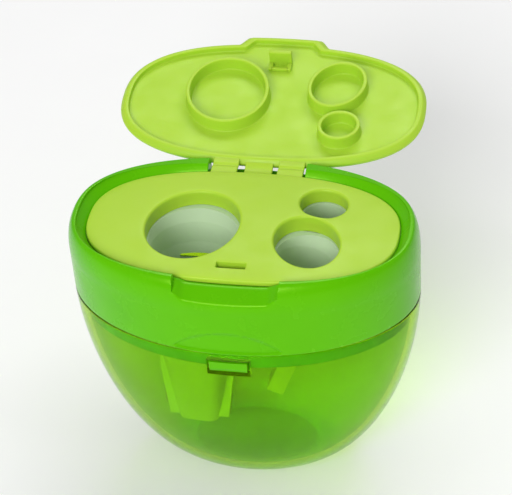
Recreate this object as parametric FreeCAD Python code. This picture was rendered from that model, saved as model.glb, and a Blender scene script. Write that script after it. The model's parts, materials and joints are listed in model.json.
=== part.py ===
"""Three-hole pencil sharpener with a flip lid and a lift-off shavings bin.

Millimetres, +Z up, front towards -Y.  The origin is the middle of the bin's base.
"""
import FreeCAD, Part
import math
import os

from FreeCAD import Matrix, Placement, Rotation, Vector

# ---------------------------------------------------------------- driving sizes
SEAM_Z = 41.8               # where the bin's rim meets the head shell
DECK_Z = 56.0               # deck plane
RIM_Z = 57.2                # crest of the head shell's rim
REAR_FALL_Y, REAR_CREST_Z = 5.0, 55.9   # behind this line the crest falls towards the hinge
BODY_A, BODY_B = 33.0, 20.9             # half width and half depth at the seam
WALL = 1.5                  # bin wall
BASE_A = 11.7               # half width the bowl's profile runs down to
BASE_TRIM = 0.05            # trimmed off the bowl's lowest point to leave a flat base
FLOOR = 1.7                 # bin floor thickness
FLOOR_IN = 0.4              # the floor is this much narrower than the base
BOWL_DROP, BOWL_SWELL = 1.8, 1.9        # exponents of the bowl's profile
BOWL_STATIONS = 10

SHOULDER_Z = 51.0           # the head's outer wall starts to round over here
SHOULDER_A, SHOULDER_B = 32.9, 20.4
ROUND_A, ROUND_B = 1.6, 2.6             # how far the rounding pulls in
SKIRT_DEPTH = 4.2           # how far the head's skirt reaches into the bin
SKIRT_WALL = 1.2
SKIRT_GAP = 0.45            # skirt to bin wall
HEAD_WALL = 1.9
SHOULDER_THIN = 0.3         # the head's wall is this much thicker at the shoulder, front and back
TAPER_STATIONS = (0.0, 0.35, 0.7)       # sections of the head below the shoulder, as shares
ROUND_STATIONS = (0, 25, 45, 62, 77, 90)    # sections round the shoulder, in degrees
TAPER_N, ROUND_N = 0.12, 0.2            # how much squarer the ovals get over each of the two
LEDGE_T, LEDGE_IN = 1.4, 1.55           # ledge that the deck rests on
CAVITY_Z = SEAM_Z + 1.6     # inside, the head widens out above this height

DECK_A, DECK_B, DECK_N = 29.1, 15.7, 2.5
DECK_PLATE = 1.6
DECK_CROWN = 0.2            # deck's middle stands this far above the deck plane
DOME_RISE, DOME_SPREAD = 3.2, 1.62      # height and spread of the ellipsoid that domes the deck
FIT_GAP = 0.1               # deck to head shell, all round
TUBE_DEPTH = 3.4            # the openings' walls reach this far below the deck plane
TUBE_WALL = 1.0

LID_A, LID_B = 30.5, 16.85
LID_BOTTOM, LID_TOP = 55.66, 57.9
LID_CHAMFER = 0.8           # on the lid's lower edge, which seats in the rim
LID_GAP = 0.3               # lid to rim when closed
SEAT_SLOPE = 1.8            # size of the bevel in the rim that the chamfer sits over
RIM_DRAFT = 0.05
LID_SKIN = 1.2
LID_RIM = 1.6
LID_ROUND = 1.3
LID_TAB_W, LID_TAB_Y, LID_TAB_R = 18.6, -19.0, 2.6
RING_CLEAR, RING_WALL, RING_TIP_Z = 0.25, 0.9, 55.0

HINGE_Y, HINGE_Z = 18.1, 55.35
OPEN_ANGLE = 171.0          # the lid as stored lies this far from closed
STRAP_T = 0.8
STRAP_ROOT_GAP = 0.3        # each strap ends this far from the crease
STRAP_OFF = 0.1             # each strap lies this far off the hinge plane
STRAP_GRIP, LID_GRIP = 1.2, 0.9         # how far the straps run into the deck and the lid
FILM_GAP, GROOVE_R = 0.02, 0.45
SNAP_START, SNAP_END, SNAP_DROP, SNAP_SAG, SNAP_T = 0.2, 0.15, 0.5, 0.6, 0.6
FILM_T = 0.35
SIDE_STRAP_X = (3.9, 8.9)
MID_STRAP_HALF = 2.7
BACK_CUT_HALF, BACK_CUT_FLOOR = 9.4, 52.6
BACK_CUT_IN = 0.6           # the cut-out starts this far inside the deck's rear edge
SILL_MARGIN, SILL_T, SILL_BACK = 0.9, 1.2, 1.4      # block that closes the cut-out's floor

LATCH_Y = -11.9
LATCH_W, LATCH_T, LATCH_TIP_Z = 4.6, 1.0, 53.4
BARB_R, BARB_UP = 0.35, 0.5
BRACE_LENGTH, BRACE_WALL, BRACE_UP = 2.4, 0.8, 0.4      # hollow block behind the latch
ROOTED = 0.1                # the lid's ribs run this far into its skin
SLOT_W, SLOT_T = 5.4, 1.5

CATCH_W = 7.4               # spring tongue in the front of the skirt
CATCH_SLIT = 0.5
CATCH_ROOT_GAP = 0.08       # the leaf is cut from its root here, where it bends
CATCH_COVER = 1.3           # the head's wall in front of the tongue, before the thumb mark
CATCH_FOOT_Z, CATCH_ROOT_Z = 36.6, 44.6
BOSS_MARGIN, BOSS_FRONT, BOSS_BACK = 1.2, 1.6, 3.55     # block that carries the catch
BOSS_DROP, BOSS_RISE = 0.9, 2.0
WINDOW_W, WINDOW_LOW, WINDOW_HIGH = 8.0, 36.6, 40.3
NUB_LOW, NUB_HIGH, NUB_W = 37.1, 39.9, 7.0
NUB_IN = 0.1                # the nub's face stands this far inside the bin's outer face
NUB_ROOT, NUB_CHAMFER, NUB_SLOPE_Z = 0.3, 0.3, (0.5, 1.3)

THUMB_ARC_R, THUMB_ARC_TOP, THUMB_DEPTH = 14.3, 46.8, 0.45
RECESS_TOP_W, RECESS_MID_W, RECESS_LOW_W = 19.8, 18.9, 14.4    # finger recess in the front of the rim
RECESS_FLOOR_Z, RECESS_MID_Z, RECESS_RISE = 52.0, 53.0, 3.2

# Each sharpener: opening (centre, half sizes, turn), bore, lean of its axis, blade side.
SHARPENERS = {
    "large": dict(centre=(-9.1, -1.1), half=(8.65, 9.6), turn=-13, bore=8.2, length=40.5,
                  lean=(-0.01, -0.07), blade_side=Vector(0, 1, 0), cone_half=12.6,
                  top=(9.9, 10.9), bottom=(4.2, 4.4), blade_w=7.6, screw_at=0.62),
    "medium": dict(centre=(12.6, -4.1), half=(5.9, 7.0), turn=25, bore=5.45, length=30.0,
                   lean=(-0.15, -0.05), blade_side=Vector(1, 0, 0), cone_half=11.5,
                   top=(7.1, 8.1), bottom=(2.7, 3.2), blade_w=6.4, screw_at=0.60),
    "small": dict(centre=(14.25, 7.2), half=(4.5, 4.25), turn=-20, bore=4.1, length=24.5,
                  lean=(-0.03, -0.03), blade_side=Vector(0, 1, 0), cone_half=11.8,
                  top=(5.7, 5.45), bottom=(2.8, 2.7), blade_w=5.8, screw_at=0.58),
}
GUIDE_START, GUIDE_LENGTH = 2.2, 4.6        # cylinder that steadies the pencil, along the bore
TIP_R = 0.8
BLADE_T, BLADE_BEVEL, BLADE_BITE = 0.7, 1.1, 0.16
BACKING_T = 3.2             # plastic left behind the blade's seat
SCREW_R, SCREW_HEAD_R, SCREW_HEAD_H, SCREW_DEPTH = 1.2, 2.1, 1.1, 2.6
SCREW_WALL = 0.9
SCREW_CLEAR, SCREW_HOLE = 0.03, 0.15        # pilot hole and blade hole, larger than the shank
WING_END, WING_UP = 0.6, 0.5                # plastic round the blade seat
WING_NECK, WING_BACK = 0.75, 0.9
BLADE_END, BLADE_EDGE = 1.1, 0.25           # blade to body ends; cutting edge past the bore's line
BODY_N, FOOT_N = 3.2, 4.5                   # how square the sharpener bodies are, top and bottom
SCREW_SLOT_W, SCREW_SLOT_D = 0.5, 0.6
DIVIDER, DIVIDER_AT = 0.3, 0.585        # gap between the medium and the small body, and its place

FAR = 60.0                  # larger than the whole head
PAST = 2.0                  # cutting tools reach this far past what they cut
LEAST = 0.01                # lengths below this count as nothing
RING_POINTS = 40


# ---------------------------------------------------------------- shape helpers
def oval_wire(a, b, z, n=2.0, cx=0.0, cy=0.0, turn=0.0, count=RING_POINTS):
    """Closed smooth superellipse |x/a|^n + |y/b|^n = 1 at height z."""
    points = []
    for i in range(count):
        t = 2 * math.pi * i / count
        th = math.atan2(b * math.sin(t), a * math.cos(t))
        c = math.cos(th)
        s = math.sin(th)
        r = (abs(c / a) ** n + abs(s / b) ** n) ** (-1.0 / n)
        th += math.radians(turn)
        points.append(Vector(cx + r * math.cos(th), cy + r * math.sin(th), z))
    curve = Part.BSplineCurve()
    curve.interpolate(Points=points, PeriodicFlag=True)
    return Part.Wire([curve.toShape()])


def oval_prism(a, b, z0, z1, **kw):
    """Straight-walled superellipse from z0 to z1."""
    face = Part.Face(oval_wire(a, b, z0, **kw))
    return face.extrude(Vector(0, 0, z1 - z0))


def loft(wires, ruled=False):
    return Part.makeLoft(wires, True, ruled)


def box(x0, x1, y0, y1, z0, z1):
    return Part.makeBox(x1 - x0, y1 - y0, z1 - z0, Vector(x0, y0, z0))


def prism_xy(points, z0, z1):
    wire = Part.makePolygon([Vector(x, y, z0) for x, y in points + points[:1]])
    return Part.Face(wire).extrude(Vector(0, 0, z1 - z0))


def bowl(top_r, base_r, z_low, squash):
    """Solid bowl whose sections are ellipses; its profile runs into the base level."""
    points = []
    for i in range(BOWL_STATIONS + 1):
        phi = math.pi / 2 * i / BOWL_STATIONS
        fall = math.sin(phi) ** (2 / BOWL_DROP)
        swell = max(math.cos(phi), 0.0) ** (2 / BOWL_SWELL)
        points.append(Vector(base_r + (top_r - base_r) * swell, 0, SEAM_Z - (SEAM_Z - z_low) * fall))
    curve = Part.BSplineCurve()
    curve.interpolate(Points=points, InitialTangent=Vector(0, 0, -1), FinalTangent=Vector(-1, 0, 0))
    top, low = points[0], points[-1]
    edges = [
        curve.toShape(),
        Part.makeLine(low, Vector(0, 0, low.z)),
        Part.makeLine(Vector(0, 0, low.z), Vector(0, 0, top.z)),
        Part.makeLine(Vector(0, 0, top.z), top),
    ]
    solid = Part.Face(Part.Wire(edges)).revolve(Vector(0, 0, 0), Vector(0, 0, 1), 360)
    scale = Matrix()
    scale.scale(1.0, squash, 1.0)
    return solid.transformGeometry(scale)


def fuse(shapes):
    return shapes[0].fuse(shapes[1:]).removeSplitter() if len(shapes) > 1 else shapes[0]


# ---------------------------------------------------------------- shavings bin
def make_bin():
    outer = bowl(BODY_A, BASE_A, -BASE_TRIM, BODY_B / BODY_A)
    inner = bowl(BODY_A - WALL, BASE_A - FLOOR_IN, FLOOR, (BODY_B - WALL) / (BODY_A - WALL))
    window = box(-WINDOW_W / 2, WINDOW_W / 2, -BODY_B - PAST, -BODY_B + PAST + WALL, WINDOW_LOW, WINDOW_HIGH)
    below = box(-FAR, FAR, -FAR, FAR, -FAR, 0.0)
    return outer.cut([inner, window, below])


# ---------------------------------------------------------------- head shell
def head_outer(inset=0.0):
    """Outside of the head from the seam to the rim's crest, optionally shrunk."""
    wires = []
    for part_way in TAPER_STATIONS:
        z = SEAM_Z + (SHOULDER_Z - SEAM_Z) * part_way
        a = BODY_A + (SHOULDER_A - BODY_A) * part_way
        b = BODY_B + (SHOULDER_B - BODY_B) * part_way
        wires.append(oval_wire(a - inset, b - inset, z, n=2.0 + TAPER_N * part_way))
    for angle in ROUND_STATIONS:
        phi = math.radians(angle)
        z = SHOULDER_Z + (RIM_Z - SHOULDER_Z) * math.sin(phi)
        pull = 1 - math.cos(phi)
        a = SHOULDER_A - ROUND_A * pull
        b = SHOULDER_B - ROUND_B * pull
        wires.append(oval_wire(a - inset, b - inset, z, n=2.0 + TAPER_N + ROUND_N * angle / 90))
    return loft(wires)


def skirt_block(inset, z0, z1):
    """Everything inside the skirt's outer face, shrunk by inset."""
    a = BODY_A - WALL - SKIRT_GAP - inset
    b = BODY_B - WALL - SKIRT_GAP - inset
    return oval_prism(a, b, z0, z1)


def make_thumb_mark():
    """Shallow arc pressed into the front of the head above the catch."""
    centre = Vector(0, -BODY_B / 2, THUMB_ARC_TOP - THUMB_ARC_R)
    disc = Part.makeCylinder(THUMB_ARC_R, BODY_B / 2 + PAST, centre, Vector(0, -1, 0))
    return disc.cut(head_outer(THUMB_DEPTH))


def make_finger_recess():
    """Flared notch in the front of the rim, its floor sloping outwards."""
    outer_y, inner_y = -BODY_B - PAST, -DECK_B + LEDGE_IN
    sections = []
    for half, floor in ((RECESS_LOW_W / 2, RECESS_FLOOR_Z), (RECESS_MID_W / 2, RECESS_MID_Z),
                        (RECESS_TOP_W / 2, RIM_Z + PAST / 3)):
        high = floor + RECESS_RISE
        corners = [(-half, outer_y, floor), (half, outer_y, floor), (half, inner_y, high),
                   (-half, inner_y, high), (-half, outer_y, floor)]
        sections.append(Part.makePolygon([Vector(*corner) for corner in corners]))
    return loft(sections, ruled=True)


def make_rear_fall():
    """Wedge that lowers the rim's crest towards the hinge."""
    slope = (RIM_Z - REAR_CREST_Z) / (BODY_B - REAR_FALL_Y)
    far_y = BODY_B + PAST
    corners = [(REAR_FALL_Y, RIM_Z), (far_y, RIM_Z - slope * (far_y - REAR_FALL_Y)),
               (far_y, RIM_Z + PAST), (REAR_FALL_Y, RIM_Z + PAST)]
    wire = Part.makePolygon([Vector(-FAR, y, z) for y, z in corners + corners[:1]])
    return Part.Face(wire).extrude(Vector(2 * FAR, 0, 0))


def make_head_shell():
    pocket_z = DECK_Z - DECK_PLATE
    ledge_z = pocket_z - LEDGE_T
    skirt_low = SEAM_Z - SKIRT_DEPTH
    shell = head_outer().cut(make_thumb_mark())
    shell = shell.fuse(skirt_block(0.0, skirt_low, (SEAM_Z + CAVITY_Z) / 2))
    skirt_hole = skirt_block(SKIRT_WALL, skirt_low - PAST, CAVITY_Z + PAST / 2)
    cavity = loft([
        oval_wire(BODY_A - HEAD_WALL, BODY_B - HEAD_WALL, CAVITY_Z),
        oval_wire(SHOULDER_A - HEAD_WALL, SHOULDER_B - HEAD_WALL - SHOULDER_THIN, ledge_z, n=2.0 + TAPER_N),
    ], ruled=True)
    ledge_hole = oval_prism(DECK_A - LEDGE_IN, DECK_B - LEDGE_IN, ledge_z - PAST / 4, pocket_z + PAST / 4,
                            n=DECK_N)
    pocket = oval_prism(DECK_A + FIT_GAP, DECK_B + FIT_GAP, pocket_z, DECK_Z + PAST / 4, n=DECK_N)
    seat_z = LID_BOTTOM + LID_CHAMFER
    room_a, room_b = LID_A + LID_GAP, LID_B + LID_GAP
    lid_room = loft([
        oval_wire(room_a - SEAT_SLOPE, room_b - SEAT_SLOPE, seat_z - SEAT_SLOPE, n=DECK_N),
        oval_wire(room_a, room_b, seat_z, n=DECK_N),
        oval_wire(room_a + RIM_DRAFT, room_b + RIM_DRAFT, RIM_Z + PAST / 2, n=DECK_N),
    ], ruled=True)
    shell = shell.cut([skirt_hole, cavity, ledge_hole, pocket])
    shell = shell.cut([lid_room, make_finger_recess(), make_rear_fall()])

    # A sill closes the floor of the cut-out at the back; a boss carries the catch.
    sill_half = BACK_CUT_HALF + SILL_MARGIN
    sill = box(-sill_half, sill_half, DECK_B - SILL_T, SHOULDER_B - SILL_BACK,
               BACK_CUT_FLOOR - SILL_T, BACK_CUT_FLOOR + SILL_MARGIN)
    boss_half = CATCH_W / 2 + BOSS_MARGIN
    boss = box(-boss_half, boss_half, -BODY_B + BOSS_FRONT, -BODY_B + BOSS_BACK,
               CATCH_ROOT_Z - BOSS_DROP, CATCH_ROOT_Z + BOSS_RISE)
    back_cut = box(-BACK_CUT_HALF, BACK_CUT_HALF, DECK_B - BACK_CUT_IN, BODY_B + PAST,
                   BACK_CUT_FLOOR, RIM_Z + PAST)
    half = CATCH_W / 2 + CATCH_SLIT
    tongue_room = box(-half, half, -BODY_B + CATCH_COVER, -BODY_B + BOSS_BACK + PAST,
                      skirt_low - PAST, CATCH_ROOT_Z)
    return shell.fuse([sill, boss]).cut([back_cut, tongue_room])


def make_catch_tongue():
    """Leaf cut free from the skirt, with the nub that snaps into the bin's window."""
    leaf = skirt_block(0.0, CATCH_FOOT_Z, CATCH_ROOT_Z - CATCH_ROOT_GAP)
    leaf = leaf.cut(skirt_block(SKIRT_WALL, CATCH_FOOT_Z - PAST, CATCH_ROOT_Z + PAST))
    leaf = leaf.common(box(-CATCH_W / 2, CATCH_W / 2, -BODY_B, 0, 0, RIM_Z))
    y_in = -BODY_B + WALL + SKIRT_GAP + NUB_ROOT
    y_out = -BODY_B + NUB_IN
    outline = [(y_in, NUB_LOW), (y_out + NUB_CHAMFER, NUB_LOW + NUB_SLOPE_Z[0]),
               (y_out, NUB_LOW + NUB_SLOPE_Z[1]), (y_out, NUB_HIGH), (y_in, NUB_HIGH)]
    side = Part.makePolygon([Vector(-NUB_W / 2, y, z) for y, z in outline + outline[:1]])
    nub = Part.Face(side).extrude(Vector(NUB_W, 0, 0))
    nub = nub.common(oval_prism(BODY_A - NUB_IN, BODY_B - NUB_IN, NUB_LOW - PAST, NUB_HIGH + PAST))
    return fuse([leaf, nub])


# ---------------------------------------------------------------- deck
def opening_hole(s, grow, z0, z1):
    a, b = s["half"]
    x, y = s["centre"]
    return oval_prism(a + grow, b + grow, z0, z1, cx=x, cy=y, turn=s["turn"])


def strap_boxes(y0, y1, z0, z1):
    """The two side straps and the middle strap, between y0 and y1."""
    near, far = SIDE_STRAP_X
    spans = ((-far, -near), (-MID_STRAP_HALF, MID_STRAP_HALF), (near, far))
    return [box(x0, x1, y0, y1, z0, z1) for x0, x1 in spans]


def make_deck():
    low = DECK_Z - DECK_PLATE
    plate = oval_prism(DECK_A, DECK_B, low, DECK_Z + PAST, n=DECK_N)
    stretch = Matrix()
    stretch.scale(DECK_A * DOME_SPREAD, DECK_B * DOME_SPREAD, DOME_RISE)
    dome = Part.makeSphere(1.0).transformGeometry(stretch)
    dome_z = DECK_Z + DECK_CROWN - DOME_RISE
    dome.translate(Vector(0, 0, dome_z))
    plate = plate.common(dome.fuse(box(-FAR, FAR, -FAR, FAR, low - PAST, dome_z)))
    tubes = []
    for s in SHARPENERS.values():
        tubes.append(opening_hole(s, TUBE_WALL, DECK_Z - TUBE_DEPTH, DECK_Z - DECK_PLATE / 2))
    strap_top = HINGE_Z - STRAP_OFF
    straps = strap_boxes(DECK_B - STRAP_GRIP, HINGE_Y - STRAP_ROOT_GAP, strap_top - STRAP_T, strap_top)
    deck = plate.fuse(tubes + straps[::2])
    tube_low = DECK_Z - TUBE_DEPTH
    holes = [opening_hole(s, 0.0, tube_low - PAST, DECK_Z + PAST) for s in SHARPENERS.values()]
    slot = box(-SLOT_W / 2, SLOT_W / 2, LATCH_Y - SLOT_T / 2, LATCH_Y + SLOT_T / 2, low - PAST, DECK_Z + PAST)
    return deck.cut(holes + [slot]).removeSplitter()


# ---------------------------------------------------------------- lid
def lid_block(inset, z0, z1):
    """Lid outline with its front tab, shrunk by inset."""
    half = LID_TAB_W / 2 - inset
    tip = LID_TAB_Y + inset
    tab = box(-half, half, tip, -LID_B / 2, z0, z1)
    corners = [e for e in tab.Edges if e.BoundBox.YMax < tip + LEAST and e.BoundBox.ZLength > LEAST]
    tab = tab.makeFillet(LID_TAB_R - inset, corners)
    return oval_prism(LID_A - inset, LID_B - inset, z0, z1, n=DECK_N).fuse(tab).removeSplitter()


def to_open_pose(shape):
    posed = shape.copy()
    posed.rotate(Vector(0, HINGE_Y, HINGE_Z), Vector(1, 0, 0), -OPEN_ANGLE)
    return posed


def make_lid():
    shell = lid_block(0.0, LID_BOTTOM, LID_TOP)
    top_edges = [e for e in shell.Edges if e.BoundBox.ZMin > LID_TOP - LEAST]
    shell = shell.makeFillet(LID_ROUND, top_edges)
    low_edges = [e for e in shell.Edges if e.BoundBox.ZMax < LID_BOTTOM + LEAST]
    shell = shell.makeChamfer(LID_CHAMFER, low_edges)
    ceiling = LID_TOP - LID_SKIN
    shell = shell.cut(lid_block(LID_RIM, LID_BOTTOM - PAST, ceiling))
    extras = []
    bores = []
    for s in SHARPENERS.values():
        extras.append(opening_hole(s, -RING_CLEAR, RING_TIP_Z, ceiling + ROOTED))
        bores.append(opening_hole(s, -RING_CLEAR - RING_WALL, RING_TIP_Z - PAST, ceiling))
    half = LATCH_W / 2
    latch = box(-half, half, LATCH_Y - LATCH_T / 2, LATCH_Y + LATCH_T / 2, LATCH_TIP_Z, ceiling + ROOTED)
    barb_y = LATCH_Y - LATCH_T / 2 + BARB_R / 2
    barb = Part.makeCylinder(BARB_R, LATCH_W, Vector(-half, barb_y, LATCH_TIP_Z + BARB_UP), Vector(1, 0, 0))
    brace = box(-half, half, LATCH_Y, LATCH_Y + BRACE_LENGTH, LID_BOTTOM + BRACE_UP, ceiling + ROOTED)
    core_half = half - BRACE_WALL
    core = box(-core_half, core_half, LATCH_Y + LATCH_T / 2 + ROOTED,
               LATCH_Y + BRACE_LENGTH - BRACE_WALL, LID_BOTTOM, ceiling - ROOTED)
    strap_low = HINGE_Z + STRAP_OFF
    straps = strap_boxes(LID_B - LID_GRIP, HINGE_Y - STRAP_ROOT_GAP, strap_low, strap_low + STRAP_T)
    lid = shell.fuse(extras).cut(bores)
    lid = lid.fuse([latch, barb, brace] + straps[::2]).cut(core)
    return to_open_pose(lid.removeSplitter())


# ---------------------------------------------------------------- film hinges
def make_film(x0, x1):
    """Thin web across the crease, with the half-round groove that lets it fold."""
    reach = STRAP_ROOT_GAP - FILM_GAP
    z_mid = HINGE_Z - STRAP_OFF - STRAP_T / 2
    web = box(x0, x1, HINGE_Y - reach, HINGE_Y + reach, z_mid - FILM_T, z_mid + FILM_T)
    groove = Part.makeCylinder(GROOVE_R, x1 - x0, Vector(x0, HINGE_Y, HINGE_Z), Vector(1, 0, 0))
    return web.cut(groove)


def make_snap_strap():
    """Arched middle strap, sprung between deck and lid, that flips the lid open or shut."""
    y0, y1 = DECK_B + SNAP_START, 2 * HINGE_Y - LID_B - SNAP_END
    middle = (y0 + y1) / 2
    top = HINGE_Z - SNAP_DROP
    low = top - SNAP_T
    upper = Part.Arc(Vector(0, y0, top), Vector(0, middle, top - SNAP_SAG), Vector(0, y1, top))
    lower = Part.Arc(Vector(0, y0, low), Vector(0, middle, low - SNAP_SAG), Vector(0, y1, low))
    wire = Part.Wire([
        upper.toShape(),
        Part.makeLine(Vector(0, y1, top), Vector(0, y1, low)),
        lower.toShape(),
        Part.makeLine(Vector(0, y0, low), Vector(0, y0, top)),
    ])
    strap = Part.Face(wire).extrude(Vector(2 * MID_STRAP_HALF, 0, 0))
    strap.translate(Vector(-MID_STRAP_HALF, 0, 0))
    return strap


# ---------------------------------------------------------------- sharpeners
def sharpener_axes(s):
    """Axis frame of one sharpener: its top centre, up, blade side, across, blade plane."""
    x, y = s["centre"]
    lean_x, lean_y = s["lean"]
    down = Vector(lean_x, lean_y, -1).normalize()
    up = down * -1
    middle = Vector(x, y, DECK_Z - TUBE_DEPTH / 2)
    top = middle + down * (TUBE_DEPTH / 2 / up.z)
    side = s["blade_side"] - up * s["blade_side"].dot(up)
    side.normalize()
    across = up.cross(side)
    alpha = math.radians(s["cone_half"])
    along = side * math.sin(alpha) + up * math.cos(alpha)
    normal = side * math.cos(alpha) - up * math.sin(alpha)
    cone_top = top + down * (GUIDE_START + GUIDE_LENGTH)
    cone_length = (s["bore"] - TIP_R) / math.tan(alpha)
    seat = cone_top + normal * (s["bore"] * math.cos(alpha) - BLADE_BITE * s["bore"])
    frame = Placement(seat, Rotation(across, along, normal, "XYZ"))
    return dict(top=top, down=down, up=up, cone_top=cone_top, cone_length=cone_length, frame=frame)


def placed(shape, frame):
    moved = shape.copy()
    moved.Placement = frame
    return moved


def bore_tool(s, k):
    """Funnel, pencil guide, sharpening cone and tip outlet, turned in one piece."""
    mouth_r = min(s["half"]) - FIT_GAP
    flare = (mouth_r - s["bore"]) / GUIDE_START
    cone_z = -GUIDE_START - GUIDE_LENGTH
    outline = [(0, PAST), (mouth_r + flare * PAST, PAST), (s["bore"], -GUIDE_START), (s["bore"], cone_z),
               (TIP_R, cone_z - k["cone_length"]), (TIP_R, -FAR), (0, -FAR)]
    wire = Part.makePolygon([Vector(r, 0, z) for r, z in outline + outline[:1]])
    tool = Part.Face(wire).revolve(Vector(0, 0, 0), Vector(0, 0, 1), 360)
    return placed(tool, Placement(k["top"], Rotation(Vector(0, 0, 1), k["up"])))


def make_sharpener(s):
    """Body, blade and screw of one sharpener."""
    k = sharpener_axes(s)
    top_z = DECK_Z - TUBE_DEPTH
    low = k["top"] + k["down"] * s["length"]
    body = loft([
        oval_wire(s["top"][0], s["top"][1], top_z, n=BODY_N, cx=k["top"].x, cy=k["top"].y,
                  turn=s["turn"] / 2),
        oval_wire(s["bottom"][0], s["bottom"][1], low.z, n=FOOT_N, cx=low.x, cy=low.y,
                  turn=s["turn"] / 4),
    ], ruled=True)
    reach = s["length"] - GUIDE_START - GUIDE_LENGTH
    screw_g = -s["screw_at"] * reach
    r_there = s["bore"] - (s["bore"] - TIP_R) * min(1.0, -screw_g / k["cone_length"])
    screw_v = r_there + SCREW_R + SCREW_WALL
    half = screw_v + SCREW_HEAD_R
    wing_low, wing_high = -reach + WING_END, -WING_END
    neck, back = half * WING_NECK, half * WING_BACK
    wing = prism_xy([(-neck, wing_low), (neck, wing_low), (half, screw_g - SCREW_HEAD_R),
                     (half, wing_high), (-back, wing_high), (-back, screw_g)], -BACKING_T, WING_UP)
    body = body.fuse(placed(wing, k["frame"]))
    seat_cut = box(-FAR, FAR, -FAR, wing_high, 0.0, FAR)
    pilot_depth = SCREW_DEPTH + FIT_GAP
    pilot = Part.makeCylinder(SCREW_R + SCREW_CLEAR, pilot_depth, Vector(screw_v, screw_g, -pilot_depth),
                              Vector(0, 0, 1))
    body = body.cut([placed(seat_cut, k["frame"]), bore_tool(s, k), placed(pilot, k["frame"])])

    blade_low, blade_high = -reach + BLADE_END, -BLADE_END
    profile = [(-BLADE_EDGE, SCREW_CLEAR), (s["blade_w"], SCREW_CLEAR), (s["blade_w"], BLADE_T),
               (BLADE_BEVEL, BLADE_T)]
    wire = Part.makePolygon([Vector(v, blade_low, n) for v, n in profile + profile[:1]])
    blade = Part.Face(wire).extrude(Vector(0, blade_high - blade_low, 0))
    hole = Part.makeCylinder(SCREW_R + SCREW_HOLE, 2 * PAST, Vector(screw_v, screw_g, -PAST), Vector(0, 0, 1))
    blade = placed(blade.cut(hole), k["frame"])

    shank = Part.makeCylinder(SCREW_R, SCREW_DEPTH + BLADE_T + SCREW_HOLE,
                              Vector(screw_v, screw_g, -SCREW_DEPTH), Vector(0, 0, 1))
    head = Part.makeCylinder(SCREW_HEAD_R, SCREW_HEAD_H, Vector(screw_v, screw_g, BLADE_T + SCREW_CLEAR),
                             Vector(0, 0, 1))
    slot = box(screw_v - FAR, screw_v + FAR, screw_g - SCREW_SLOT_W / 2, screw_g + SCREW_SLOT_W / 2,
               BLADE_T + SCREW_HEAD_H - SCREW_SLOT_D, BLADE_T + SCREW_HEAD_H + PAST)
    screw = placed(shank.fuse(head).cut(slot).removeSplitter(), k["frame"])
    return body, blade, screw


def divide(bodies):
    """Keep a gap between the medium and the small body, which stand close together."""
    m, s = SHARPENERS["medium"]["centre"], SHARPENERS["small"]["centre"]
    across = Vector(s[0] - m[0], s[1] - m[1], 0)
    span = across.Length
    across.normalize()
    middle = Vector(m[0], m[1], 0) + across * (span * DIVIDER_AT)
    slab_a = Part.makeBox(FAR, FAR, 2 * FAR, Vector(-FAR / 2, DIVIDER / -2, -FAR))
    slab_b = Part.makeBox(FAR, FAR, 2 * FAR, Vector(-FAR / 2, DIVIDER / 2 - FAR, -FAR))
    turn = Rotation(Vector(0, 1, 0), across)
    for name, slab in (("medium", slab_a), ("small", slab_b)):
        slab.Placement = Placement(middle, turn)
        bodies[name] = bodies[name].cut(slab)


# ---------------------------------------------------------------- write the parts
def main():
    os.makedirs("parts", exist_ok=True)
    near, far = SIDE_STRAP_X
    parts = {
        "shavings_bin": make_bin(),
        "head_shell": make_head_shell(),
        "catch_tongue": make_catch_tongue(),
        "deck": make_deck(),
        "lid": make_lid(),
        "hinge_film_left": make_film(-far, -near),
        "hinge_film_right": make_film(near, far),
        "hinge_snap_strap": make_snap_strap(),
    }
    bodies = {}
    for size, s in SHARPENERS.items():
        bodies[size], parts["blade_" + size], parts["blade_screw_" + size] = make_sharpener(s)
    divide(bodies)
    for size, body in bodies.items():
        parts["sharpener_body_" + size] = body
    for node, shape in parts.items():
        shape.exportStep("parts/" + node + ".step")
        low, high = shape.BoundBox, shape.BoundBox
        print("%-24s solids %d valid %s volume %8.1f  x %6.1f %6.1f  y %6.1f %6.1f  z %6.1f %6.1f" % (
            node, len(shape.Solids), shape.isValid(), shape.Volume, low.XMin, high.XMax,
            low.YMin, high.YMax, low.ZMin, high.ZMax))


main()
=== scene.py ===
import json
import math

import bmesh
import bpy
import numpy as np
from mathutils import Matrix, Vector
from mathutils.geometry import delaunay_2d_cdt


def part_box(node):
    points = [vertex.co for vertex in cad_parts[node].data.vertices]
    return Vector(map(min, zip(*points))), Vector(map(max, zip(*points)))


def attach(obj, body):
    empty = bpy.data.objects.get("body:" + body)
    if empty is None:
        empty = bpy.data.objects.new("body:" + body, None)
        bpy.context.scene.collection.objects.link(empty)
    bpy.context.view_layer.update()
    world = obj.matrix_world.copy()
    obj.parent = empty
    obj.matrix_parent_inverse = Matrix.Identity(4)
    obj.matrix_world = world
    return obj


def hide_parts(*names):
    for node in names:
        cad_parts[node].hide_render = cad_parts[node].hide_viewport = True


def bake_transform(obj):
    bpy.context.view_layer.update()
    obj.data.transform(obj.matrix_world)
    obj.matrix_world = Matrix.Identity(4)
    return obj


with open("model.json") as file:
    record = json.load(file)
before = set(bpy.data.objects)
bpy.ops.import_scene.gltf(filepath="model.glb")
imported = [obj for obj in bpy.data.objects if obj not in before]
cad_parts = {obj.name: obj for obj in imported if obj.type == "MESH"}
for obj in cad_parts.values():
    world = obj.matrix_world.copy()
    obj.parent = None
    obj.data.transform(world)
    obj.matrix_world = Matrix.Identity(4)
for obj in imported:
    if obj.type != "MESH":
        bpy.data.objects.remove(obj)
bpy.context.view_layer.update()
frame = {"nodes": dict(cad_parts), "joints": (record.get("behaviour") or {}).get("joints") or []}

MM = 0.001
WELD_M, TINY_M = 2e-6, 1e-6

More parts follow.
